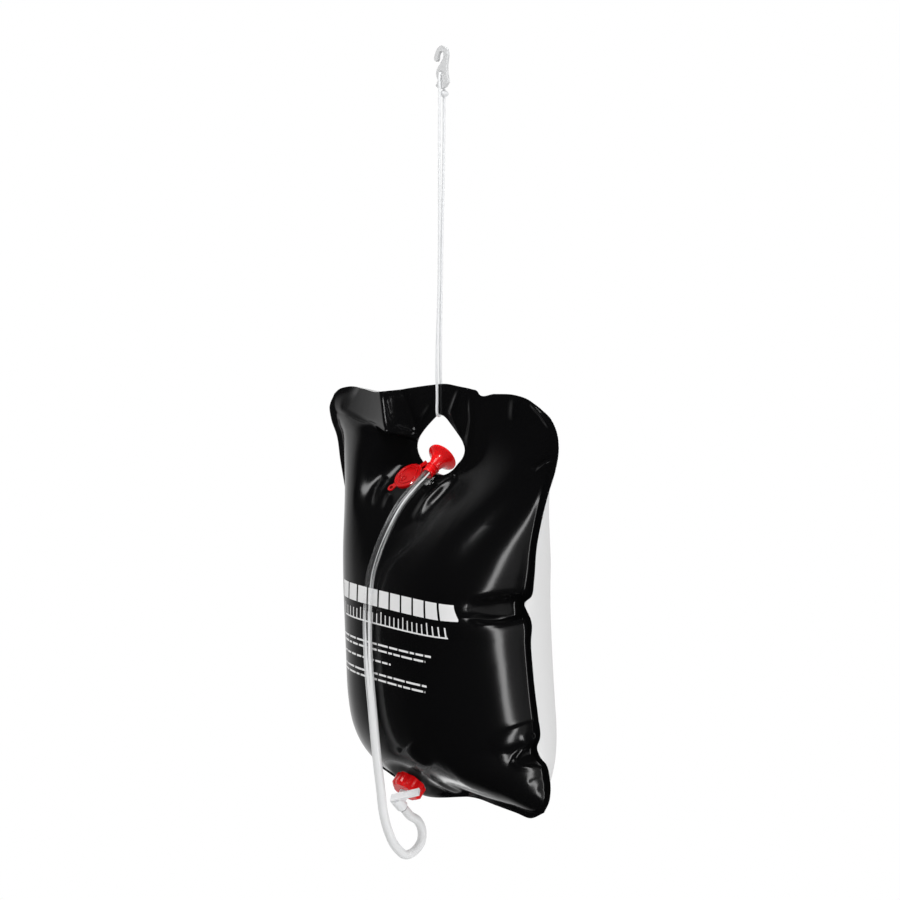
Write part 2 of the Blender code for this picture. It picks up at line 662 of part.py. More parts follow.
def make_outlet():
    """Spout in the sheet, gasket, nut, tap body, plug, lever and seal."""
    place = OUTLET.frame()
    spout = [
        (SPOUT_BORE_RADIUS, -SPOUT_FLANGE), (SPOUT_FLANGE_RADIUS, -SPOUT_FLANGE), (SPOUT_FLANGE_RADIUS, 0),
        (SPOUT_RADIUS, 0), (SPOUT_RADIUS, SPOUT_LENGTH), (SPOUT_BORE_RADIUS, SPOUT_LENGTH),
    ]
    add_object("outlet_spout", turned("outlet_spout", spout), BLACK_PLASTIC, place)
    low = SPOUT_LENGTH + GAP
    high = low + GASKET
    ring = [(INLET_BORE_RADIUS + 0.0010, low), (GASKET_RADIUS, low), (GASKET_RADIUS, high), (INLET_BORE_RADIUS + 0.0010, high)]
    add_object("outlet_gasket", turned("outlet_gasket", ring), RUBBER, place)
    add_object("outlet_nut", nut_mesh(), PLASTIC_RED, place)

    collar = high + GAP
    inlet = [
        (0, collar), (COLLAR_RADIUS, collar), (COLLAR_RADIUS, collar + COLLAR), (INLET_RADIUS, collar + COLLAR),
        (INLET_RADIUS, BARREL_OUT), (0, BARREL_OUT),
    ]
    body = add_object("tap_body", spun("inlet", inlet, 32), PLASTIC_WHITE, place)
    upright = barrel_frame()
    combine(body, [cylinder("barrel", BARREL_RADIUS, -BARREL_HALF, BARREL_HALF)], "UNION", upright)
    down = upright @ Matrix.Rotation(math.pi, 4, "X")
    start = BARREL_HALF - 0.0005
    shoulder = BARREL_HALF + LEG_SHOULDER
    leg = [(0, start), (OUTLET_NECK_RADIUS, start), (OUTLET_NECK_RADIUS, shoulder)]
    leg += barbed(BARB_RADIUS, BARB_LENGTH, 0, shoulder)[1:]
    combine(body, [spun("leg", leg, 24)], "UNION", down)
    combine(body, [cylinder("inlet_bore", INLET_BORE_RADIUS, collar - 0.001, BARREL_OUT, 24)], "DIFFERENCE", place)
    well = cylinder("barrel_bore", BARREL_BORE_RADIUS, -BARREL_HALF + 0.0016, BARREL_HALF + 0.001, 28)
    combine(body, [well], "DIFFERENCE", upright)
    way = cylinder("leg_bore", BARB_BORE_RADIUS, 0, BARREL_HALF + BARB_LENGTH + 0.006, 16)
    combine(body, [way], "DIFFERENCE", down)

    plug = BARREL_BORE_RADIUS - TURN_GAP
    base = -BARREL_HALF + 0.0016 + TURN_GAP
    groove = BARREL_HALF - 0.0034
    turned_plug = [
        (0, base), (plug, base), (plug, groove), (plug - O_RING * 2, groove), (plug - O_RING * 2, groove + O_RING * 2 + 0.0002),
        (plug, groove + O_RING * 2 + 0.0002), (plug, BARREL_HALF), (0, BARREL_HALF),
    ]
    barrel_plug = add_object("tap_plug", spun("tap_plug", turned_plug, 28), PLASTIC_WHITE, upright)
    stem = block("stem", (-STEM_HALF, -STEM_HALF, BARREL_HALF - 0.001), (STEM_HALF, STEM_HALF, BARREL_HALF + STEM_RISE))
    combine(barrel_plug, [stem], "UNION", upright)
    across_bore = upright @ Matrix.Rotation(math.radians(90), 4, "X") @ Matrix.Rotation(LEVER_CLOSED, 4, "Y")
    combine(barrel_plug, [cylinder("cross_bore", PLUG_BORE_RADIUS, -0.010, 0.0, 16)], "DIFFERENCE", across_bore)
    combine(barrel_plug, [cylinder("down_bore", PLUG_BORE_RADIUS * 0.9, base - 0.001, 0.0004, 16)], "DIFFERENCE", upright)

    ring_at = groove + O_RING + 0.0001
    seal = []
    for step in range(8):
        angle = math.tau * step / 8
        seal.append((plug - O_RING + (O_RING - 0.00015) * math.cos(angle), ring_at + (O_RING - 0.00015) * math.sin(angle)))
    add_object("tap_o_ring", turned("tap_o_ring", seal, 28), RUBBER, upright)

    swing = upright @ Matrix.Rotation(LEVER_CLOSED, 4, "Z")
    low = BARREL_HALF + GAP
    half = LEVER_WIDTH / 2
    bar = block("bar", (-half, -half, low), (LEVER_LENGTH, half, low + LEVER_THICKNESS))
    lever = add_object("tap_lever", bar, PLASTIC_WHITE, swing)
    socket = STEM_HALF + 0.0001
    hole = block("socket", (-socket, -socket, low - 0.001), (socket, socket, BARREL_HALF + STEM_RISE + GAP))
    combine(lever, [hole], "DIFFERENCE", upright)
    return upright


def rose_frame():
    """The rose's own frame: +Z out of its face, its origin at the middle of the rim."""
    centre = Vector((ROSE_X, SEAM_Y + ROSE_RIM_Y, APEX_Z - ROSE_RIM_DROP))
    axis = Vector((0, math.cos(ROSE_TILT), math.sin(ROSE_TILT)))
    across = Vector((1, 0, 0))
    basis = Matrix((across, axis.cross(across), axis)).transposed().to_4x4()
    return Matrix.Translation(centre) @ basis


def make_rose():
    """A trumpet with a barbed neck, closed by a plate with rings of jets."""
    place = rose_frame()
    back = -ROSE_LENGTH
    outer = []
    for step in range(11):
        share = step / 10
        radius = COLLAR_BACK_RADIUS + (ROSE_RADIUS - COLLAR_BACK_RADIUS) * (share**2.6)
        outer.append((radius, back + 0.004 + (ROSE_LENGTH - 0.004 - ROSE_LIP) * share))
    inner_radius = ROSE_RADIUS - ROSE_WALL
    seat = -ROSE_PLATE - GAP
    barb = [(r, back - h) for r, h in barbed(NECK_RADIUS - 0.0016, ROSE_BARB_LENGTH, ROSE_BARB_BORE, 0.0)][::-1]
    shape = barb[:-1]
    shape += [(COLLAR_BACK_RADIUS, back), (COLLAR_BACK_RADIUS + 0.0006, back + 0.0012), (COLLAR_BACK_RADIUS + 0.0006, back + 0.0030)]
    shape += outer[1:]
    shape += [(ROSE_RADIUS, 0), (inner_radius, 0), (inner_radius, seat), (inner_radius - 0.0012, seat)]
    for step in range(9, 2, -1):
        radius, height = outer[step]
        shape.append((max(ROSE_BARB_BORE, radius - ROSE_WALL - 0.0006), height - 0.0012))
    shape.append((ROSE_BARB_BORE, back + 0.006))
    add_object("rose_horn", turned("rose_horn", shape, 40), PLASTIC_RED, place)

    low, high = seat + GAP / 2, -GAP / 2
    edge = inner_radius - GAP
    plate_profile = [(0, low), (edge, low), (edge, high), (edge * 0.55, high + 0.0006), (0, high + 0.0009)]
    plate = add_object("rose_plate", spun("rose_plate", plate_profile, 36), PLASTIC_WHITE, place)
    jets = []
    for radius, count in JET_RINGS:
        for number in range(count):
            angle = math.tau * number / count
            jet = cylinder("jet", JET_RADIUS, low - 0.001, high + 0.003, 6)
            jet.transform(Matrix.Translation((radius * math.cos(angle), radius * math.sin(angle), 0)))
            jets.append(jet)
    bm = bmesh.new()
    for jet in jets:
        bm.from_mesh(jet)
    combine(plate, [mesh_from("jets", bm)], "DIFFERENCE", place)


def hose_route():
    """From the tip of the tap's barb round the loop below the bag and up to the tip of the rose's."""
    tip = BARREL_HALF + LEG_SHOULDER + BARB_LENGTH + GAP
    start = barrel_frame() @ Vector((0, 0, -tip))
    leg = (barrel_frame().to_3x3() @ Vector((0, 0, -1))).normalized()
    rose = rose_frame()
    end = rose @ Vector((0, 0, -ROSE_LENGTH - ROSE_BARB_LENGTH - GAP))
    back = (rose.to_3x3() @ Vector((0, 0, -1))).normalized()
    rise = end.z - start.z
    points = [start, start + leg * 0.006]
    for x, y, share in HOSE_COURSE:
        points.append((x, y * FRONT_BULGE, start.z + share * rise))
    return points + [end + back * 0.006, end]


def make_hose():
    points = smooth_path(hose_route(), HOSE_POINTS, HOSE_BEND)
    hose = tube("hose", points, HOSE_RADIUS, 3, CLEAR_PVC)
    return hose


def main():
    clear_scene()
    make_hook()
    make_rope()
    make_bag()
    make_filler()
    make_outlet()
    make_rose()
    make_hose()


main()
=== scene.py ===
"""The looks of the portable shower: film bag, cords, mouldings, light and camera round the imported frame."""

import json
import math

import bmesh
import bpy
import numpy as np
from mathutils import Matrix, Vector
from mathutils.bvhtree import BVHTree

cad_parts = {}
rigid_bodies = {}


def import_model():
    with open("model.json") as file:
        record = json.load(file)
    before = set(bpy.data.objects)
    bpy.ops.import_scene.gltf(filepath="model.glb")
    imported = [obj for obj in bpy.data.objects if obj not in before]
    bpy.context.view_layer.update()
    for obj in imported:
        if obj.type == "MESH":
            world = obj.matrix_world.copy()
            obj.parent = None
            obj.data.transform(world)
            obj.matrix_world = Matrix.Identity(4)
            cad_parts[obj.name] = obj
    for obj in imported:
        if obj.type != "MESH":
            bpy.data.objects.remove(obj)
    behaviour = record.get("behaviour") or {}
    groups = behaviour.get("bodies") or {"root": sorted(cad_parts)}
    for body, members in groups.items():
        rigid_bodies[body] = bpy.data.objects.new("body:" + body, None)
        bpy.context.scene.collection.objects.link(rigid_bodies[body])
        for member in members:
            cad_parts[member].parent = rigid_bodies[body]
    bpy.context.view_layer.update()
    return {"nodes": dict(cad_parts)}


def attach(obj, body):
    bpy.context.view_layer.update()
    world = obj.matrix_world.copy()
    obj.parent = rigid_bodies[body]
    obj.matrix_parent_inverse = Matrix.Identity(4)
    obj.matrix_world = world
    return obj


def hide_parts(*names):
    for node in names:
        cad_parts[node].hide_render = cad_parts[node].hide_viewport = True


MM = 0.001


def clear_start():
    for obj in list(bpy.data.objects):
        bpy.data.objects.remove(obj, do_unlink=True)


clear_start()
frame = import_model()
nodes = frame["nodes"]
scene = bpy.context.scene


# Camera, from the photograph's perspective

YAW = math.radians(43.0)
DISTANCE = 2.150
FOCAL_PIXELS = 1602.0
EYE_HEIGHT = -0.4341
HORIZON_ROW = 379.0
AXIS_COLUMN = 441.0
PICTURE = 900.0


def make_camera():
    pitch = math.atan((PICTURE / 2 - HORIZON_ROW) / FOCAL_PIXELS)
    side = math.atan((PICTURE / 2 - AXIS_COLUMN) / FOCAL_PIXELS * math.cos(pitch))
    flat = Vector((-math.sin(YAW), math.cos(YAW), 0))
    across = Vector((math.cos(YAW), math.sin(YAW), 0))
    ahead = flat * math.cos(side) + across * math.sin(side)
    right = across * math.cos(side) - flat * math.sin(side)
    forward = ahead * math.cos(pitch) + Vector((0, 0, -math.sin(pitch)))
    up = right.cross(forward)
    data = bpy.data.cameras.new("camera")
    data.sensor_width = 36.0
    data.lens = FOCAL_PIXELS * data.sensor_width / PICTURE
    data.clip_start, data.clip_end = 0.1, 50
    obj = bpy.data.objects.new("camera", data)
    scene.collection.objects.link(obj)
    turn = Matrix((right, up, -forward)).transposed().to_4x4()
    place = Vector((DISTANCE * math.sin(YAW), -DISTANCE * math.cos(YAW), EYE_HEIGHT))
    obj.matrix_world = Matrix.Translation(place) @ turn
    scene.camera = obj
    return tuple(np.array(v) for v in (place, right, up, forward))


EYE, EYE_RIGHT, EYE_UP, EYE_FORWARD = make_camera()


def in_picture(points):
    """Picture column and row of points given in metres."""
    ray = points - EYE
    far = ray @ EYE_FORWARD
    column = PICTURE / 2 + FOCAL_PIXELS * (ray @ EYE_RIGHT) / far
    return column, PICTURE / 2 - FOCAL_PIXELS * (ray @ EYE_UP) / far


scene.view_settings.view_transform = "Standard"


# Materials


class Tree:
    """Adds the nodes of one node tree and joins them."""

    def __init__(self, tree):
        self.tree = tree

    @staticmethod
    def set(node, key, value):
        node.inputs[key].default_value = value

    def add(self, kind, **settings):
        node = self.tree.nodes.new(kind)
        for key, value in settings.items():
            setattr(node, key, value)
        return node

    def link(self, a, b):
        self.tree.links.new(a, b)

    def combine(self, operation, a, b):
        """A sum, product or the like of two values."""
        node = self.add("ShaderNodeMath", operation=operation)
        self.link(a, node.inputs[0])
        self.link(b, node.inputs[1])
        return node.outputs[0]

    def ranged(self, value, low, high, start=0.0, stop=1.0, smooth=False):
        """Maps a value that runs from start to stop to low and high, and holds it there beyond them."""
        node = self.add("ShaderNodeMapRange", interpolation_type="SMOOTHSTEP" if smooth else "LINEAR")
        for key, number in (("From Min", start), ("From Max", stop), ("To Min", low), ("To Max", high)):
            self.set(node, key, number)
        self.link(value, node.inputs["Value"])
        return node.outputs["Result"]

    def mixed(self, share, first, second):
        """The first shader where share is 0, the second where it is 1."""
        node = self.add("ShaderNodeMixShader")
        for socket, source in zip(node.inputs, (share, first, second)):
            self.link(source, socket)
        return node.outputs[0]


class Nodes(Tree):
    """Builds a node material around one Principled shader."""

    def __init__(self, name, colour, roughness, **inputs):
        self.material = bpy.data.materials.new(name)
        self.material.use_nodes = True
        super().__init__(self.material.node_tree)
        self.shader = self.tree.nodes["Principled BSDF"]
        self.set(self.shader, "Base Color", (*colour, 1))
        self.set(self.shader, "Roughness", roughness)
        for key, value in inputs.items():
            self.set(self.shader, key.replace("_", " "), value)

    def position(self):
        return self.add("ShaderNodeTexCoord").outputs["Object"]

    def noise(self, scale, detail, stretch=(1, 1, 1)):
        mapping = self.add("ShaderNodeMapping")
        mapping.inputs["Scale"].default_value = stretch
        self.link(self.position(), mapping.inputs["Vector"])
        noise = self.add("ShaderNodeTexNoise")
        self.set(noise, "Scale", scale)
        self.set(noise, "Detail", detail)
        self.link(mapping.outputs[0], noise.inputs["Vector"])
        return noise.outputs["Fac"]

    def bump(self, value, distance, strength, after=None):
        node = self.add("ShaderNodeBump")
        self.set(node, "Distance", distance)
        self.set(node, "Strength", strength)
        self.link(value, node.inputs["Height"])
        if after is not None:
            self.link(after, node.inputs["Normal"])
        return node.outputs["Normal"]


# Fittings welded in the front sheet: centre in millimetres, and the axis that points out of the bag
FILLER = ((-38, -19, -569.7), (0, -math.sqrt(0.5), math.sqrt(0.5)))
OUTLET = ((0, -56, -966.7), (0, -math.cos(math.radians(44)), -math.sin(math.radians(44))))

# Their seats are flat out to the first radius and gone at the second, in millimetres
FILLER_SEAT = (19, 72)
OUTLET_SEAT = (22, 56)

# The film is fully dull this near the outlet, in metres, and glossy again this far from it
DULL_FULL, DULL_END = 0.026, 0.050


def film_black():
    made = Nodes("black_film", (0.0026, 0.0026, 0.0029), 0.2)
    broad = made.bump(made.noise(26, 2, (1, 1, 0.45)), 0.0009, 0.35)
    fine = made.bump(made.noise(900, 2), 0.00002, 0.6, broad)
    made.link(fine, made.shader.inputs["Normal"])
    away = made.add("ShaderNodeVectorMath", operation="DISTANCE")
    made.link(made.position(), away.inputs[0])
    away.inputs[1].default_value = [value * MM for value in OUTLET[0]]
    dull = made.ranged(away.outputs["Value"], 0.5, 0.0, start=DULL_FULL, stop=DULL_END, smooth=True)
    gloss = made.ranged(made.noise(9, 2), 0.14, 0.21)
    made.link(made.combine("ADD", gloss, dull), made.shader.inputs["Roughness"])
    return made.material


def film_pale():
    made = Nodes("pale_film", (0.755, 0.755, 0.755), 0.3)
    made.link(made.bump(made.noise(22, 2, (1, 1, 0.4)), 0.0012, 0.5), made.shader.inputs["Normal"])
    return made.material


def moulding(name, colour, roughness, **inputs):
    """A material with a slightly uneven gloss and a fine grain."""
    made = Nodes(name, colour, roughness, **inputs)
    worn = made.ranged(made.noise(60, 2), roughness * 0.85, roughness * 1.2)
    made.link(worn, made.shader.inputs["Roughness"])
    made.link(made.bump(made.noise(700, 2), 0.00001, 0.6), made.shader.inputs["Normal"])
    return made.material


def cord_white():
    made = Nodes("white_cord", (0.80, 0.81, 0.82), 0.6)
    wave = made.add("ShaderNodeTexWave", wave_type="BANDS", bands_direction="DIAGONAL")
    made.set(wave, "Scale", 420)
    made.link(made.position(), wave.inputs["Vector"])
    made.link(made.bump(wave.outputs["Fac"], 0.00012, 0.7), made.shader.inputs["Normal"])
    return made.material


# Heights between which the hose's streaks crowd together, in metres
CROWD_START, CROWD_END = -0.69, -0.88


def hose_clear():
    """Clear tube: see-through between long pale streaks, which crowd together towards its foot."""
    made = Nodes("clear_hose", (0.90, 0.905, 0.91), 0.06, IOR=1.46)
    around = made.add("ShaderNodeAttribute", attribute_name="around").outputs["Vector"]
    mapping = made.add("ShaderNodeMapping")
    mapping.inputs["Scale"].default_value = (2.2, 2.2, 2.2)
    made.link(around, mapping.inputs["Vector"])
    noise = made.add("ShaderNodeTexNoise")
    made.set(noise, "Scale", 1.7)
    made.set(noise, "Detail", 2.0)
    made.link(mapping.outputs[0], noise.inputs["Vector"])
    place = made.add("ShaderNodeSeparateXYZ")
    made.link(made.position(), place.inputs[0])
    crowd = made.ranged(place.outputs["Z"], 0.0, 0.32, start=CROWD_START, stop=CROWD_END)
    total = made.combine("ADD", noise.outputs["Fac"], crowd)
    streak = made.ranged(total, 0.015, 0.78, start=0.585, stop=0.63, smooth=True)
    edge = made.add("ShaderNodeLayerWeight")
    made.set(edge, "Blend", 0.35)
    rim = made.ranged(edge.outputs["Facing"], 0.0, 0.75, start=0.55, stop=0.95, smooth=True)
    made.link(made.combine("MAXIMUM", streak, rim), made.shader.inputs["Alpha"])
    return made.material


BLACK_FILM = film_black()
PALE_FILM = film_pale()
RED = moulding("red_plastic", (0.80, 0.002, 0.004), 0.22, Coat_Weight=0.5, Coat_Roughness=0.08)
# The cap, its strap and its rings are the same red plastic as the horn and nut, given a darker copy of it:
# painted shade on the cap.
CAP_RED_PAINTED_SHADE = moulding("red_cap_plastic_painted_shade", (0.47, 0.001, 0.002), 0.22, Coat_Weight=0.5, Coat_Roughness=0.08)
WHITE = moulding("white_plastic", (0.83, 0.84, 0.85), 0.32)
HOOK_WHITE = moulding("hook_plastic", (0.60, 0.605, 0.61), 0.35)
BLACK_PLASTIC = moulding("black_plastic", (0.01, 0.01, 0.011), 0.4)
RUBBER = moulding("rubber", (0.02, 0.02, 0.02), 0.7)
CORD = cord_white()
HOSE = hose_clear()
PRINT = moulding("white_print", (0.84, 0.84, 0.84), 0.45)


def dress(obj, material):
    obj.data.materials.clear()
    obj.data.materials.append(material)


for name, material in (
    ("hook", HOOK_WHITE), ("rope_knot", CORD),
    ("filler_neck", BLACK_PLASTIC), ("filler_strap", CAP_RED_PAINTED_SHADE), ("filler_cap", CAP_RED_PAINTED_SHADE),
    ("outlet_spout", BLACK_PLASTIC), ("outlet_gasket", RUBBER), ("outlet_nut", RED),
    ("tap_body", WHITE), ("tap_plug", WHITE), ("tap_o_ring", RUBBER), ("tap_lever", WHITE),
    ("rose_horn", RED), ("rose_plate", WHITE),
):
    dress(nodes[name], material)


# Curves and cords

SPAN_STEPS = 32


def smooth_curve(points, count):
    """Evenly spaced points on a smooth curve through given points."""
    points = np.array(points, float)
    steps = np.diff(points, axis=0)
    gaps = np.linalg.norm(steps, axis=1)
    slopes = steps / gaps[:, None]
    tangents = [slopes[0]]
    for i in range(1, len(slopes)):
        tangents.append((slopes[i] * gaps[i - 1] + slopes[i - 1] * gaps[i]) / (gaps[i] + gaps[i - 1]))
    tangents.append(slopes[-1])
    t = np.linspace(0, 1, SPAN_STEPS, endpoint=False)[:, None]
    fine = []
    for i, gap in enumerate(gaps):
        start = points[i] * (1 + 2 * t) * (1 - t) ** 2
        end = points[i + 1] * t * t * (3 - 2 * t)
        leaving = tangents[i] * gap * t * (1 - t) ** 2
        arriving = tangents[i + 1] * gap * t * t * (t - 1)
        fine.append(start + end + leaving + arriving)
    fine = np.concatenate(fine + [points[-1:]])
    lengths = np.concatenate([[0], np.cumsum(np.linalg.norm(np.diff(fine, axis=0), axis=1))])
    wanted = np.linspace(0, lengths[-1], count)
    return np.stack([np.interp(wanted, lengths, fine[:, k]) for k in range(fine.shape[1])], 1)


def tube(name, path, rings, material, sides):
    """A tube along a path. rings are the radii of its walls, outer first, and its ends are closed."""
    path = np.array(path)
    ahead = np.gradient(path, axis=0)
    ahead /= np.linalg.norm(ahead, axis=1)[:, None]
    aslant = (0.3, 0.9, 0.1)
    side = np.cross(ahead[0], aslant)
    side /= np.linalg.norm(side)
    bm = bmesh.new()
    around = bm.verts.layers.float_vector.new("around")
    gone = np.concatenate([[0], np.cumsum(np.linalg.norm(np.diff(path, axis=0), axis=1))])
    walls = [[] for _ in rings]
    for point, direction, far in zip(path, ahead, gone):
        side = side - direction * (side @ direction)
        side /= np.linalg.norm(side)
        other = np.cross(direction, side)
        for wall, radius in zip(walls, rings):
            ring = []
            for k in range(sides):
                a = math.tau * k / sides
                vert = bm.verts.new(point + radius * (math.cos(a) * side + math.sin(a) * other))
                vert[around] = (math.cos(a), math.sin(a), far)
                ring.append(vert)
            wall.append(ring)
    for number, wall in enumerate(walls):
        for here, there in zip(wall, wall[1:]):
            for k in range(sides):
                j = (k + 1) % sides
                quad = (here[k], here[j], there[j], there[k])
                bm.faces.new(quad if number == 0 else quad[::-1])
    for end in (0, -1):
        if len(walls) == 1:
            bm.faces.new(walls[0][end][::-1] if end == 0 else walls[0][end])
            continue
        for k in range(sides):
            j = (k + 1) % sides
            quad = (walls[0][end][j], walls[0][end][k], walls[1][end][k], walls[1][end][j])
            bm.faces.new(quad if end == 0 else quad[::-1])
    mesh = bpy.data.meshes.new(name)
    bm.to_mesh(mesh)
    bm.free()
    mesh.shade_smooth()
    mesh.materials.append(material)
    obj = bpy.data.objects.new(name, mesh)
    scene.collection.objects.link(obj)
    return obj


# Rope, in metres: the hook's hole and the bend in it, the handle hole's apex and the bend under it, the knot
ROPE_RADIUS = 0.0019
EYE_X, EYE_Z = 0.0016, -0.0282
EYE_TURN = 0.00445
APEX_X, APEX_Z = -0.004, -0.4807
APEX_TURN = 0.00325
KNOT_Z = EYE_Z - 0.0265
KNOT_RADIUS = 0.0058
KNOT_GAP = KNOT_RADIUS * 0.80 + 0.0003


def half_turn(centre_y, centre_z, radius, upward):
    """Points (y, z) of a half circle from the front of its centre to the back."""
    angles = np.linspace(0, math.pi, 9)
    rise = radius if upward else -radius
    return [(centre_y - radius * math.cos(a), centre_z + rise * math.sin(a)) for a in angles]


def make_rope():
    """From the knot down behind, under the handle hole's apex, up in front and through the hook."""
    x, eye = APEX_X, EYE_X
    points = [(eye, EYE_TURN, KNOT_Z - KNOT_GAP), (eye, EYE_TURN, KNOT_Z - KNOT_GAP - 0.020)]
    points += [(eye * 0.7 + x * 0.3, APEX_TURN - 0.001, KNOT_Z - 0.200), (x, APEX_TURN, APEX_Z + 0.060)]
    points += [(x, y, z) for y, z in half_turn(0, APEX_Z + 0.0004, APEX_TURN, False)[::-1]]
    points += [(x, -APEX_TURN, APEX_Z + 0.020), (x, -APEX_TURN - 0.0006, APEX_Z + 0.050)]
    points += [(eye * 0.4 + x * 0.6, -0.0020, APEX_Z + 0.180)]
    points += [(eye, -EYE_TURN - 0.0004, EYE_Z - 0.080), (eye, -EYE_TURN, EYE_Z - 0.020)]
    points += [(eye, y, z) for y, z in half_turn(0, EYE_Z - EYE_TURN + 0.0006, EYE_TURN, True)]
    points += [(eye, EYE_TURN, EYE_Z - 0.014), (eye, EYE_TURN, KNOT_Z + KNOT_GAP)]
    path = smooth_curve(points, count=640)
    obj = tube("white_rope", path, (ROPE_RADIUS,), CORD, sides=16)
    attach(obj, "rope")
    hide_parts("rope")


make_rope()


# Tap, rose and hose, in metres. The hose starts HOSE_FOOT down the tap's leg and ends HOSE_HEAD short of the
# rose's centre.
TAP_CENTRE = Vector((0, -0.0819, -0.99171))
LEG = Vector((0, 0.69466, -0.71934))
ROSE_CENTRE = Vector((-0.002, 0.0055, -0.5386))
ROSE_TILT = math.radians(36)
ROSE_AXIS = Vector((0, math.cos(ROSE_TILT), math.sin(ROSE_TILT)))
HOSE_RADIUS, HOSE_WALL = 0.0060, 0.0016
HOSE_FOOT, HOSE_HEAD = 0.0130, 0.0270


def make_hose():
    """Off the tap's leg, round forward in a bend, up in front of the film and back to the rose's barb."""
    start = TAP_CENTRE + LEG * HOSE_FOOT
    end = ROSE_CENTRE - ROSE_AXIS * HOSE_HEAD
    points = [
        start, start + LEG * 0.008, start + LEG * 0.0165, (0, -0.0455, -1.0240), (0, -0.0378, -1.0380),
        (0, -0.0390, -1.0523), (0, -0.0520, -1.0630), (0, -0.0674, -1.0650), (-0.001, -0.0860, -1.0506),
        (-0.003, -0.1000, -1.0240), (-0.006, -0.1050, -0.9997), (-0.008, -0.1070, -0.9743),
        (-0.012, -0.1100, -0.9312), (-0.018, -0.1126, -0.8654), (-0.024, -0.1138, -0.8013),
        (-0.024, -0.1138, -0.7229), (-0.020, -0.1130, -0.6901), (-0.0135, -0.1090, -0.6641),
        (-0.0035, -0.0985, -0.6287), (-0.002, -0.0770, -0.5996), (-0.002, -0.0510, -0.5785),
        end - ROSE_AXIS * 0.0160, end - ROSE_AXIS * 0.008, end,
    ]
    path = smooth_curve([tuple(p) for p in points], count=420)
    obj = tube("clear_tube", path, (HOSE_RADIUS, HOSE_RADIUS - HOSE_WALL), HOSE, sides=32)
    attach(obj, "bag")
    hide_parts("hose")


make_hose()


# Turned pieces


def frame_at(centre, axis):
    """A frame at a centre in metres, with Z along an axis that is square to X."""
    across = Vector((1, 0, 0))
    basis = Matrix((across, axis.cross(across), axis)).transposed().to_4x4()
    return Matrix.Translation(centre) @ basis


def lathe(name, profile, place, material, steps=80):
    """Closed ring of (radius, height) in millimetres turned about the local Z axis."""
    bm = bmesh.new()
    rings = []
    for step in range(steps):
        angle = math.tau * step / steps
        rings.append([
            bm.verts.new((r * MM * math.cos(angle), r * MM * math.sin(angle), h * MM)) for r, h in profile
        ])
    for a, b in zip(rings, rings[1:] + rings[:1]):
        for i in range(len(profile)):
            j = (i + 1) % len(profile)
            bm.faces.new((a[i], b[i], b[j], a[j]))
    bmesh.ops.recalc_face_normals(bm, faces=bm.faces)
    mesh = bpy.data.meshes.new(name)
    bm.to_mesh(mesh)
    bm.free()
    mesh.shade_smooth()
    mesh.set_sharp_from_angle(angle=math.radians(38))
    mesh.materials.append(material)
    obj = bpy.data.objects.new(name, mesh)
    scene.collection.objects.link(obj)
    obj.matrix_world = place
    return obj


def make_horn():
    """Trumpet of the rose: thick lip, long throat and two collars on the sleeve that grips the hose."""
    outer = [
        (20.8, 0), (21.2, -0.5), (21.2, -2.0), (20.4, -3.0), (18.6, -4.2), (16.6, -5.5), (14.6, -7.0),
        (12.8, -8.9), (11.3, -11.2), (10.2, -13.8), (9.3, -16.6), (8.6, -19.4), (8.2, -21.2), (8.1, -22.2),
        (9.2, -22.6), (9.5, -23.2), (9.5, -24.4), (9.2, -25.0), (8.0, -25.3), (7.8, -27.0), (7.8, -28.2),
        (8.6, -28.5), (8.8, -29.0), (8.8, -30.0), (8.6, -30.5), (7.8, -30.8), (7.7, -34.0), (8.1, -34.4),
        (8.2, -35.0), (8.1, -36.6), (7.6, -37.2),
    ]
    inner = [
        (6.4, -37.2), (6.4, -26.6), (5.0, -26.4), (5.0, -21.0), (5.6, -18.0), (7.2, -14.0), (9.2, -10.6),
        (12.2, -7.6), (15.6, -4.9), (18.4, -2.9), (18.4, -1.72), (19.6, -1.7), (19.6, -0.3), (19.9, 0),
    ]
    obj = lathe("horn", outer + inner, frame_at(ROSE_CENTRE, ROSE_AXIS), RED)
    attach(obj, "bag")
    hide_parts("rose_horn")


make_horn()


# Film bag: seam outline in the plane Y = 0, as (x, z) in millimetres read along the photograph's edges.
# The calm right edge leaves out the notches of the true one.

TOP_EDGE = [
    (-208, -455), (-199, -449), (-182, -445), (-140, -448), (-108, -452), (-60, -446.5), (-17, -442),
    (9, -440.5), (34, -444), (56, -447.5), (65, -449.8), (68.5, -454), (96, -453.5), (132, -455),
    (150, -459.5), (172, -471),
]
BOTTOM_EDGE = [
    (-112, -980), (-80, -990), (-40, -993), (0, -993.5), (40, -992), (65, -990.5), (100, -994),
    (135, -997.5), (158, -1000), (180, -989),
]
LEFT_EDGE = [
    (-208, -455), (-218, -474), (-215, -490), (-203, -515), (-196, -549), (-186, -590), (-174, -640),
    (-164, -700), (-159, -760), (-157, -810), (-159, -860), (-160, -900), (-153, -935), (-136, -963),
    (-112, -980),
]
RIGHT_EDGE = [
    (172, -471), (190, -485), (200, -503), (202.5, -523), (198, -547), (187, -577), (177, -608),
    (167, -650), (163, -691), (159, -712), (147, -723.5), (152, -733), (158, -743), (158, -774),
    (161, -805), (165, -835), (170, -865), (173.5, -893), (168.5, -907), (174, -918), (184, -926),
    (190, -945), (191, -957), (188.5, -973), (180, -989),
]
RIGHT_CALM = [
    (172, -471), (190, -485), (200, -503), (202.5, -523), (198, -547), (187, -577), (177, -608),
    (168, -650), (163.5, -691), (161, -715), (160, -743), (161, -774), (163, -805), (166, -835),
    (171, -870), (176, -893), (181, -915), (185, -930), (188, -945), (189, -957), (188, -973), (180, -989),
]

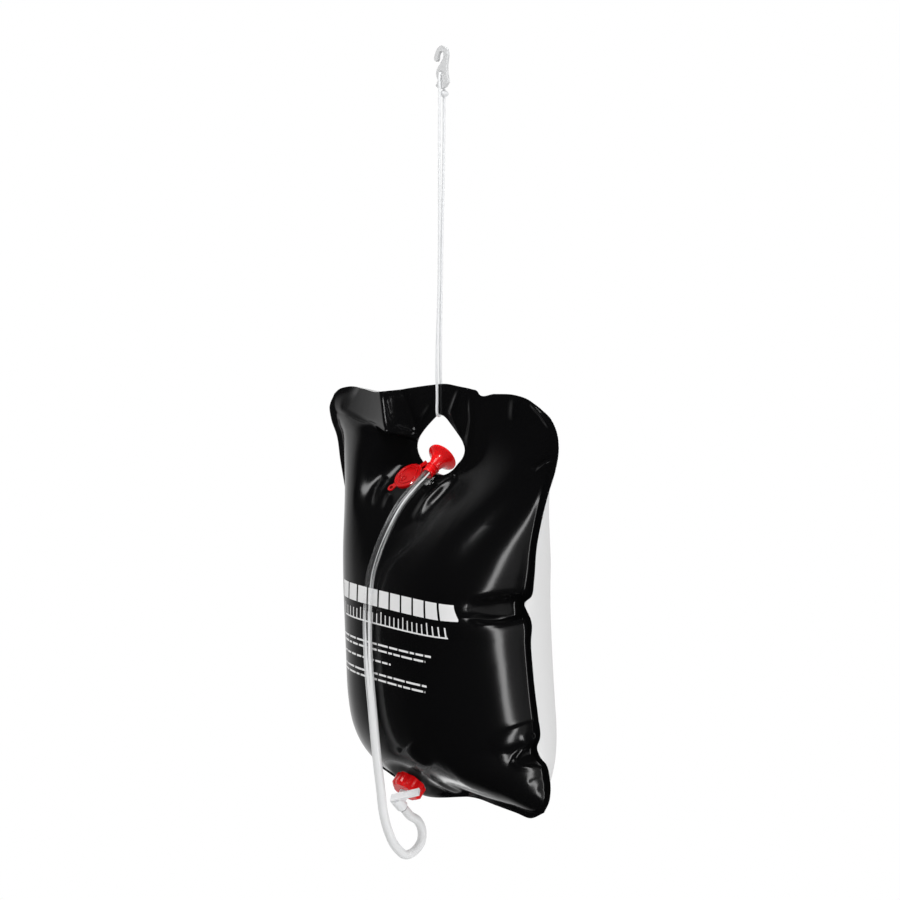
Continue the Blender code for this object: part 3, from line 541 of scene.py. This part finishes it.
# Handle hole: a teardrop, round below and drawn up to the rope
HANDLE_EDGE = [
    (-4, -480.7), (-12, -487), (-22, -495), (-33, -505), (-41, -515), (-44, -525), (-41, -536),
    (-32, -547), (-20, -555), (-5, -561), (8, -562.5), (20, -557), (31, -547), (40, -538), (43.5, -528),
    (40, -518), (31, -507), (19, -495), (7, -484.5), (-4, -480.7),
]

# Sheets, in millimetres: size, flat welded rim, depths, film, and half the gap between them. INNER_WIDTH and
# INNER_HEIGHT are the shares inside the rim, and FRONT_FULLNESS is how boxy the front is.
HALF_WIDTH, HEIGHT = 165, 548
RIM = 10.0
INNER_WIDTH = 1 - RIM / HALF_WIDTH
INNER_HEIGHT = 1 - 2 * RIM / HEIGHT
FRONT_BULGE, BACK_BULGE = 106.0, 140.0
FRONT_FULLNESS = 3.8
FILM = 0.5
HALF_GAP = 0.15

# Flat weld round the handle hole: its level, then half width, height and the reach of the rise beyond it
WELD_LEVEL = -514.7
WELD = (62, 60, 48)
RIGHT_WELD = (85, 50, 38)

# Cutters, in metres: how far each reaches to both sides, and the holes' radii in the front sheet
HANDLE_CUT, FITTING_CUT = 0.04, 0.014
FILLER_HOLE, OUTLET_HOLE = 0.0173, 0.0203

# Columns and rows of the sheets' grids
FRONT_GRID = (321, 441)
BACK_GRID = (141, 181)


def smooth_step(value):
    value = np.clip(value, 0, 1)
    return value * value * (3 - 2 * value)


def seam_grid(columns, rows, inward=0.6):
    """(x, z) of a grid that fills the seam outline, and its shares across and down.

    The seam's notches fade out inward, so that they wrinkle the edge and leave the middle smooth.
    """
    true = filled(columns, rows, RIGHT_EDGE)
    calm = filled(columns, rows, RIGHT_CALM)
    s = np.linspace(-1, 1, columns)[None] * np.ones((rows, 1))
    v = np.linspace(0, 1, rows)[:, None] * np.ones((1, columns))
    share = smooth_step((np.abs(s) - inward) / (1 - inward))[..., None]
    both = calm + (true - calm) * share
    return both[..., 0], both[..., 1], s, v


def filled(columns, rows, right_edge):
    """(x, z) of a grid stretched between the seam's four edges."""
    top = smooth_curve(TOP_EDGE, columns)
    bottom = smooth_curve(BOTTOM_EDGE, columns)
    left = smooth_curve(LEFT_EDGE, rows)[:, None]
    right = smooth_curve(right_edge, rows)[:, None]
    across = np.linspace(0, 1, columns)[None, :, None]
    down = np.linspace(0, 1, rows)[:, None, None]
    between = (1 - down) * top + down * bottom + (1 - across) * left + across * right
    corners = (1 - across) * (1 - down) * top[0] + across * (1 - down) * top[-1]
    corners = corners + (1 - across) * down * bottom[0] + across * down * bottom[-1]
    return between - corners


def arch(share, power):
    """1 in the middle and 0 where share reaches -1 or 1; a higher power makes it boxier."""
    return np.clip(1 - np.abs(share) ** power, 0, None)


def lift(x, z, half_width, height, reach):
    """0 on the flat weld round the handle hole, rising to 1 away from it."""
    outside = (np.hypot(x / half_width, np.clip(WELD_LEVEL - z, 0, None) / height) - 1) * height
    return 1 - np.exp(-((np.clip(outside, 0, None) / reach) ** 1.25))


def swell(x, z, s, v, bulge, fullness, low_fullness):
    """How far a sheet stands off the seam's plane, in millimetres."""
    across = arch(s / INNER_WIDTH, fullness)
    upper = 3.0 - 0.9 * smooth_step((-s - 0.4) / 0.4)
    lower = low_fullness * (1 + 0.62 * np.clip(s, -1, 0))
    upright = arch((2 * v - 1) / INNER_HEIGHT, np.where(v < 0.5, upper, lower))
    return bulge * across * upright * lift(x, z, *WELD)


def right_swell(x, z, s, v):
    """The front's right side starts flat under the top edge and fills slowly downward."""
    edge_power = 1 - 0.38 * smooth_step(s / 0.5)
    across = arch(s / INNER_WIDTH, front_fullness(s, z)) ** edge_power
    fill_from, fill_over = -490, 214
    upper = smooth_step((fill_from - z) / fill_over)
    lower = arch((2 * v - 1) / INNER_HEIGHT, 7.0)
    return FRONT_BULGE * across * np.where(v < 0.5, upper, lower) * lift(x, z, *RIGHT_WELD)


def front_fullness(s, z):
    """The front's roundness on its right side: boxier down to the notch, rounder below it."""
    levels = [-960, -905, -870, -800, -765, -742, -722, -680, -620, -560, -480]
    values = [3.4, 3.0, 3.3, 3.2, 3.4, 4.6, 6.0, 5.2, 3.8, 3.2, 3.0]
    return FRONT_FULLNESS + smooth_step(s / 0.3) * (np.interp(z, levels, values) - FRONT_FULLNESS)


def with_ear(depth, x, z):
    """Draws the front's top left corner out to a thin ear."""
    corner_x, corner_z = -188, -452
    out = x - corner_x
    ear = 0.13 * out + 0.0010 * out ** 2 + 0.16 * (corner_z - z)
    inner = smooth_step((-70 - x - 0.5 * (z + 450)) / 28)
    outer = smooth_step((x + 196) / 12)
    under = smooth_step((z + 480 + 0.27 * (x + 195)) / 10)
    in_ear = inner * outer * under
    return depth + (ear - depth) * in_ear * smooth_step(ear / 6)


def front_swell(x, z, s, v):
    """The front stands off like the back on the left, with an ear, and goes over to its own right side."""
    blend_from, blend_over = -60, 100
    left = with_ear(swell(x, z, s, v, FRONT_BULGE, FRONT_FULLNESS, low_fullness=7.0), x, z)
    right = right_swell(x, z, s, v)
    return left + (right - left) * smooth_step((x - blend_from) / blend_over)


def seat(depth, x, z, centre, axis, inner, outer):
    """Blends a flat seat for a fitting into the front sheet's depth."""
    weight = smooth_step((outer - np.hypot(x - centre[0], z - centre[2])) / (outer - inner))
    plane = -centre[1] - axis[2] / axis[1] * (centre[2] - z)
    return depth + weight * (np.clip(plane, 0, None) - depth)


def sheet_mesh(name, points, towards, material):
    """A sheet through a grid of points that faces +Y where towards is 1 and -Y where it is -1."""
    rows, columns = points.shape[:2]
    points = points.reshape(-1, 3)
    index = np.arange(rows * columns).reshape(rows, columns)
    quads = np.stack([index[:-1, :-1], index[:-1, 1:], index[1:, 1:], index[1:, :-1]], -1).reshape(-1, 4)
    if towards < 0:
        quads = quads[:, ::-1]
    mesh = bpy.data.meshes.new(name)
    mesh.from_pydata(points.tolist(), [], quads.tolist())
    mesh.shade_smooth()
    mesh.materials.append(material)
    obj = bpy.data.objects.new(name, mesh)
    scene.collection.objects.link(obj)
    return obj


def handle_cutter():
    """A prism of the handle hole, through both sheets."""
    outline = [(x * MM, z * MM) for x, z in smooth_curve(HANDLE_EDGE, count=72)[:-1]]
    bm = bmesh.new()
    first = [bm.verts.new((x, -HANDLE_CUT, z)) for x, z in outline]
    second = [bm.verts.new((x, HANDLE_CUT, z)) for x, z in outline]
    bm.faces.new(first)
    bm.faces.new(second[::-1])
    for i in range(len(outline)):
        j = (i + 1) % len(outline)
        bm.faces.new((first[i], second[i], second[j], first[j]))
    bmesh.ops.recalc_face_normals(bm, faces=bm.faces)
    mesh = bpy.data.meshes.new("cutter")
    bm.to_mesh(mesh)
    bm.free()
    return mesh


def cut(obj, meshes):
    """Cuts the meshes out of the sheet and keeps the result as its mesh."""
    helpers = []
    for mesh in meshes:
        helper = bpy.data.objects.new("cutter", mesh)
        scene.collection.objects.link(helper)
        helpers.append(helper)
        modifier = obj.modifiers.new("cut", "BOOLEAN")
        modifier.operation = "DIFFERENCE"
        modifier.solver = "EXACT"
        modifier.object = helper
    graph = bpy.context.evaluated_depsgraph_get()
    made = bpy.data.meshes.new_from_object(obj.evaluated_get(graph))
    obj.modifiers.clear()
    obj.data = made
    for helper in helpers:
        bpy.data.objects.remove(helper, do_unlink=True)


def fitting_frame(fitting):
    """A frame at a fitting's centre, with Z out of the bag."""
    centre, axis = fitting
    return frame_at(Vector(centre) * MM, Vector(axis))


def fitting_cutter(fitting, radius):
    """A cylinder through the front sheet, on a fitting's axis."""
    bm = bmesh.new()
    depth = 2 * FITTING_CUT
    bmesh.ops.create_cone(bm, cap_ends=True, segments=48, radius1=radius, radius2=radius, depth=depth)
    bmesh.ops.transform(bm, matrix=fitting_frame(fitting), verts=bm.verts)
    mesh = bpy.data.meshes.new("cutter")
    bm.to_mesh(mesh)
    bm.free()
    return mesh


def thicken(obj):
    """Gives a sheet its film's thickness, outward."""
    wall = obj.modifiers.new("wall", "SOLIDIFY")
    wall.thickness = FILM * MM
    wall.offset = 1
    wall.use_even_offset = True


def grid_normals(points, towards):
    """Unit normals of a grid of points, on the side that sheet_mesh faces."""
    down, along = np.gradient(points, axis=(0, 1))
    normal = np.cross(along, down) * towards
    return normal / np.maximum(np.linalg.norm(normal, axis=-1), 1e-9)[..., None]


def line_distance(column, row, line):
    """Signed distance to a line of picture positions (positive on its right) and the share along it."""
    line = np.array(line, float)
    best = np.full(column.shape, 1e9)
    signed = np.zeros(column.shape)
    share = np.zeros(column.shape)
    lengths = np.linalg.norm(np.diff(line, axis=0), axis=1)
    total, before = lengths.sum(), 0.0
    for a, b, length in zip(line, line[1:], lengths):
        ahead = (b - a) / length
        t = np.clip(((column - a[0]) * ahead[0] + (row - a[1]) * ahead[1]) / length, 0, 1)
        dc, dr = column - a[0] - t * length * ahead[0], row - a[1] - t * length * ahead[1]
        distance = np.hypot(dc, dr)
        nearer = distance < best
        best = np.where(nearer, distance, best)
        signed = np.where(nearer, np.sign(ahead[0] * dr - ahead[1] * dc) * distance, signed)
        share = np.where(nearer, (before + t * length) / total, share)
        before += length
    return signed, share


# Folds of the front film that the camera sees: kind, height in mm, half width in pixels, and a line of
# picture positions. A ridge stands proud, a crease is a sharp valley, a pinch is a valley that fades out from
# its first point, and a lip stands proud on the right of its line only.
FOLDS = [
    ("crease", 2.2, 2.2, [(329, 410), (350, 416), (372, 423), (396, 435)]),
    ("ridge", 2.0, 5.0, [(338, 424), (356, 428), (378, 431)]),
    ("crease", 3.0, 2.5, [(383, 386), (387, 400), (390, 414), (396, 427)]),
    ("ridge", 1.6, 1.8, [(391, 417), (398, 429), (411, 433), (417, 429), (424, 416), (431, 405)]),
    ("ridge", 2.4, 2.2, [(460, 389), (456, 400), (452, 412), (455, 422), (461, 434)]),
    ("crease", 2.4, 2.5, [(462, 388), (466, 402), (467, 420), (464, 436)]),
    ("ridge", 2.0, 3.0, [(469, 398), (471, 420), (468, 446)]),
    ("ridge", 1.6, 3.5, [(515, 398), (513, 420)]),
    ("ridge", 2.0, 1.6, [(531, 404), (541, 414), (550, 428)]),
    ("ridge", 3.0, 2.2, [(536, 473), (545, 465), (556, 461)]),
    ("crease", 3.0, 3.0, [(532, 469), (544, 461), (558, 456)]),
    ("ridge", 5.0, 5.0, [(456, 476), (441, 487), (428, 501), (415, 521)]),
    ("crease", 3.0, 4.0, [(423, 487), (437, 480), (452, 475)]),
    ("ridge", 2.0, 4.0, [(385, 476), (376, 489), (370, 506)]),
    ("ridge", 1.6, 3.0, [(390, 494), (385, 510)]),
    ("pinch", 11.0, (20.0, 11.0), [(544, 606), (526, 611), (500, 617), (470, 621), (430, 622)]),
    ("pinch", 7.0, (8.0, 5.0), [(542, 606), (526, 611), (500, 617), (470, 621), (440, 622)]),
    ("ridge", 1.2, 2.0, [(534, 614), (520, 619), (500, 624), (476, 628)]),
    ("lip", 6.0, 2.0, [(488, 739), (497, 735), (508, 730), (524, 724), (545, 718)]),
    ("ridge", 4.0, 2.4, [(522, 733), (525, 745), (516, 757), (514, 764), (520, 768), (545, 768)]),
    ("pinch", 4.0, (7.0, 7.0), [(556, 747), (538, 751), (518, 757), (500, 762)]),
    ("crease", 1.9, 2.2, [(550, 779), (540, 779), (529, 782)]),
    ("crease", 1.4, 2.0, [(550, 790), (538, 789)]),
    ("ridge", 3.0, 3.0, [(428, 776), (447, 787), (470, 797)]),
    ("crease", 2.5, 3.0, [(426, 784), (442, 791), (458, 797)]),
    ("ridge", 4.0, 8.0, [(406, 748), (416, 758), (428, 770)]),
]


def folded(points, towards):
    """Moves grid points along their normals by the folds, where they face the camera."""
    column, row = in_picture(points)
    normal = grid_normals(points, towards)
    away = EYE - points
    away /= np.linalg.norm(away, axis=-1)[..., None]
    facing = smooth_step(np.einsum("ijk,ijk->ij", normal, away) / 0.25)
    height = np.zeros(column.shape)
    # The square roots round off the bottoms of the valleys
    for kind, tall, wide, line in FOLDS:
        signed, share = line_distance(column, row, line)
        ends = np.sin(np.pi * np.clip(share, 0, 1)) ** 0.5
        if kind == "ridge":
            height += tall * np.exp(-((signed / wide) ** 2)) * ends
        elif kind == "pinch":
            spread = np.where(signed > 0, wide[0], wide[1])
            fade = smooth_step(1.7 * (1 - share))
            height -= tall * np.exp(0.14 - np.sqrt((signed / spread) ** 2 + 0.02)) * fade
        elif kind == "crease":
            height -= tall * np.exp(-np.sqrt((signed / wide) ** 2 + 0.04) + 0.2) * ends
        else:
            height += tall / (1 + np.exp(-signed / wide)) * np.exp(-np.abs(signed) / (6 * wide)) * ends
    return points + normal * (height * facing)[..., None] * MM


def rim_share(s, v):
    """1 over the body of the sheet, 0 on its flat welded rim."""
    across = smooth_step((1 - np.abs(s)) / 0.10)
    down = smooth_step(np.minimum(v, 1 - v) / 0.03)
    return across * down


def make_front():
    x, z, s, v = seam_grid(*FRONT_GRID)
    depth = front_swell(x, z, s, v)
    depth = seat(depth, x, z, *FILLER, *FILLER_SEAT)
    depth = seat(depth, x, z, *OUTLET, *OUTLET_SEAT)
    flat = np.stack([x, -HALF_GAP - depth, z], -1) * MM
    points = flat + (folded(flat, -1) - flat) * rim_share(s, v)[..., None]
    points[..., 1] = np.minimum(points[..., 1], -HALF_GAP * MM)
    front = sheet_mesh("front_film", points, -1, BLACK_FILM)
    thicken(front)
    cut(front, [handle_cutter(), fitting_cutter(FILLER, FILLER_HOLE), fitting_cutter(OUTLET, OUTLET_HOLE)])
    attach(front, "bag")
    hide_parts("bag_front_sheet")


def make_back():
    x, z, s, v = seam_grid(*BACK_GRID, inward=0.9)
    depth = swell(x, z, s, v, BACK_BULGE, fullness=3.6, low_fullness=8.0)
    points = np.stack([x, HALF_GAP + depth, z], -1) * MM
    back = sheet_mesh("back_film", points, 1, PALE_FILM)
    thicken(back)
    cut(back, [handle_cutter()])
    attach(back, "bag")
    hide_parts("bag_back_sheet")


make_front()
make_back()


def make_cap_rings():
    """Raised ring on the cap's face and the small loop at the root of its tab."""
    place = fitting_frame(FILLER)
    inverse = place.inverted()
    cap = nodes["filler_cap"]
    corners = [inverse @ (cap.matrix_world @ v.co) for v in cap.data.vertices]
    top = max(c.z for c in corners) / MM - 0.6
    low, high = top + 0.06, top + 1.2
    tab = max(corners, key=lambda c: math.hypot(c.x, c.y))
    towards = Vector((tab.x, tab.y, 0)).normalized()
    for name, inner, outer, reach in (("cap_ring", 13.0, 15.4, 0), ("cap_loop", 3.0, 5.0, 7.2)):
        profile = [(inner, low), (inner + 0.2, high - 0.4), (inner + 0.6, high)]
        profile += [(outer - 0.6, high), (outer - 0.2, high - 0.4), (outer, low)]
        ring = lathe(name, profile, place @ Matrix.Translation(towards * reach * MM), CAP_RED_PAINTED_SHADE)
        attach(ring, "cap")


make_cap_rings()


# Plain print: a bar of blocks, a scale of ticks and lines of dashes, where the film carries its lettering.
# PRINT_TOP is its top at x = PRINT_MIDDLE, in millimetres, and PRINT_FALL its fall towards the right.
PRINT_MIDDLE, PRINT_TOP, PRINT_FALL = -60, -706, 0.075

# How far the print stands off the film, and where the rays that find the film start, in metres
PRINT_PROUD = 0.00008
RAY_START = -0.4


def print_boxes():
    """Boxes in millimetres (left, right, from and to below the print's top), inside the print's width."""
    boxes = []
    first_left, first_right, block_step, block_height = -96, -78.2, 20.9, 22
    for i in range(10):
        boxes.append((first_left + block_step * i, first_right + block_step * i, 0, block_height))
    scale_left, scale_right, scale_top, scale_foot = -88, 98, 43.5, 45.5
    boxes.append((scale_left, scale_right, scale_top, scale_foot))
    tick_step, tick_half, tick_top, long_tick_top = 8, 0.9, 31, 28
    for i in range(24):
        middle = scale_left + tick_step * i
        top = tick_top if i % 5 else long_tick_top
        boxes.append((middle - tick_half, middle + tick_half, top, scale_top))
    dash_left, dash_height, dash_gap = -94, 2.6, 2.4
    for below, end, step in ((70, 76, 3), (77.5, 68, 5), (92, 10, 2), (109, 70, 4), (116.5, 68, 7)):
        x = dash_left
        while x < end:
            step = (step * 5 + 3) % 11
            wide = 7 + 1.6 * step
            boxes.append((x, min(x + wide, end), below, below + dash_height))
            x += wide + dash_gap
    return boxes


def make_print(film):
    tree = BVHTree.FromObject(film, bpy.context.evaluated_depsgraph_get())
    inward = Vector((0, 1, 0))
    verts, faces = [], []
    for left, right, low, high in print_boxes():
        columns = max(2, int(right - left) + 1)
        rows = max(2, int((high - low) / 2) + 1)
        first = len(verts)
        for below in np.linspace(low, high, rows):
            for x in np.linspace(left, right, columns):
                z = PRINT_TOP - PRINT_FALL * (x - PRINT_MIDDLE) - below
                place, normal = tree.ray_cast(Vector((x * MM, RAY_START, z * MM)), inward)[:2]
                verts.append(place - inward * PRINT_PROUD + normal * PRINT_PROUD)
        for r in range(rows - 1):
            for c in range(columns - 1):
                a = first + r * columns + c
                faces.append((a, a + columns, a + columns + 1, a + 1))
    mesh = bpy.data.meshes.new("white_print")
    mesh.from_pydata(verts, [], faces)
    mesh.shade_smooth()
    mesh.materials.append(PRINT)
    obj = bpy.data.objects.new("white_print", mesh)
    scene.collection.objects.link(obj)
    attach(obj, "bag")


make_print(bpy.data.objects["front_film"])


# Light

# Strengths of the world. Diffuse rays find one grey. Glossy rays find it light behind the part and dark
# elsewhere, with a wash from one side.
DIFFUSE_WORLD = 0.72
GLOSSY_DARK, GLOSSY_LIGHT = 0.010, 0.15
WASH_STRENGTH, WASH_POWER = 0.66, 1.1
WASH_DIRECTION = (-0.917, 0.389, -0.087)


def background(tree, strength=1.0):
    """A white background node, with a fixed strength or a socket for it."""
    node = tree.add("ShaderNodeBackground")
    tree.set(node, "Color", (1, 1, 1, 1))
    if isinstance(strength, float):
        tree.set(node, "Strength", strength)
    else:
        tree.link(strength, node.inputs["Strength"])
    return node.outputs[0]


def along(tree, ray, direction):
    """How far a world ray points along a direction, from -1 to 1."""
    node = tree.add("ShaderNodeVectorMath", operation="DOT_PRODUCT")
    tree.link(ray, node.inputs[0])
    node.inputs[1].default_value = direction
    return node.outputs["Value"]


def make_world():
    """White to the camera, grey to diffuse rays, dim to glossy rays so that the black film stays black."""
    world = bpy.data.worlds.new("studio")
    scene.world = world
    world.use_nodes = True
    tree = Tree(world.node_tree)
    world.node_tree.nodes.clear()
    output = tree.add("ShaderNodeOutputWorld")
    ray = tree.add("ShaderNodeTexCoord").outputs["Generated"]
    behind = along(tree, ray, tuple(EYE_FORWARD))
    grey = tree.ranged(behind, GLOSSY_DARK, GLOSSY_LIGHT, start=0.25, stop=0.95, smooth=True)
    wash = tree.ranged(along(tree, ray, WASH_DIRECTION), 0.0, 1.0, start=0.38, stop=1.0)
    fade = tree.add("ShaderNodeMath", operation="POWER")
    tree.link(wash, fade.inputs[0])
    fade.inputs[1].default_value = WASH_POWER
    total = tree.add("ShaderNodeMath", operation="MULTIPLY_ADD")
    tree.link(fade.outputs[0], total.inputs[0])
    total.inputs[1].default_value = WASH_STRENGTH
    tree.link(grey, total.inputs[2])
    path = tree.add("ShaderNodeLightPath").outputs
    seen = tree.combine("MAXIMUM", path["Is Camera Ray"], path["Is Transmission Ray"])
    glossy = background(tree, total.outputs[0])
    light = tree.mixed(path["Is Glossy Ray"], background(tree, DIFFUSE_WORLD), glossy)
    tree.link(tree.mixed(seen, light, background(tree)), output.inputs["Surface"])


def area_light(name, place, target, size, power):
    data = bpy.data.lights.new(name, "AREA")
    data.shape = "RECTANGLE"
    data.size, data.size_y = size
    data.energy = power
    obj = bpy.data.objects.new(name, data)
    scene.collection.objects.link(obj)
    obj.location = place
    obj.rotation_mode = "QUATERNION"
    obj.rotation_quaternion = (Vector(target) - Vector(place)).to_track_quat("-Z", "Y")
    obj.visible_camera = False
    return obj


def make_floor():
    """Pale floor far below the hanging part; the camera sees it as the white background."""
    mesh = bpy.data.meshes.new("floor")
    reach, level = 2.4, -2.6
    corners = [(-reach, -reach, level), (reach, -reach, level), (reach, reach, level), (-reach, reach, level)]
    mesh.from_pydata(corners, [], [(0, 1, 2, 3)])
    made = Nodes("floor", (0.8, 0.8, 0.8), 0.9)
    seen = made.add("ShaderNodeLightPath").outputs["Is Camera Ray"]
    mix = made.mixed(seen, made.shader.outputs[0], made.add("ShaderNodeEmission").outputs[0])
    made.link(mix, made.tree.nodes["Material Output"].inputs["Surface"])
    mesh.materials.append(made.material)
    obj = bpy.data.objects.new("floor", mesh)
    scene.collection.objects.link(obj)
    obj.visible_glossy = False


def light_only(lamp, name, objects):
    """Makes a lamp light only these objects."""
    lit = bpy.data.collections.new(name)
    for obj in objects:
        lit.objects.link(obj)
    lamp.light_linking.receiver_collection = lit


def make_lights():
    """Name, place, target, size in metres and power in watts of each lamp; three make highlights only."""
    area_light("left_softbox", (-2.42, -0.52, -0.34), (0, 0, -0.65), (0.9, 1.5), 0.5)
    area_light("right_strip", (2.3, 0.1, -0.9), (0, 0, -0.9), (0.35, 2.6), 20)
    area_light("right_fill", (2.19, 0.71, -0.8), (0, 0, -0.8), (1.0, 2.4), 1.9)
    top = area_light("top_softbox", (0.3, -0.8, 1.3), (0, 0, -0.5), (1.2, 1.2), 20)
    top.visible_glossy = False
    over = area_light("over_card", (0.13, -0.93, 1.19), (0, 0, -0.55), (0.6, 0.55), 6.5)
    low = area_light("low_card", (-1.35, 0.63, -2.29), (0, 0, -0.95), (0.5, 0.5), 1.7)
    key = area_light("plastic_key", (0.75, -2.2, 0.55), (0, 0, -0.75), (0.25, 0.5), 22)
    for lamp in (over, low, key):
        lamp.visible_diffuse = False
    meshes = [obj for obj in scene.collection.all_objects if obj.type == "MESH"]
    hard = [obj for obj in meshes if obj.active_material in (RED, CAP_RED_PAINTED_SHADE, WHITE, HOOK_WHITE)]
    light_only(key, "shiny_plastic", hard)
    light_only(low, "film_only", [bpy.data.objects["front_film"]])


def hide_from_gloss():
    """Leaves the red pieces out of reflections, so that the film stays black beside them."""
    for name in ("horn", "filler_cap", "filler_strap", "cap_ring", "cap_loop", "outlet_nut"):
        bpy.data.objects[name].visible_glossy = False


make_floor()
make_world()
make_lights()
hide_from_gloss()
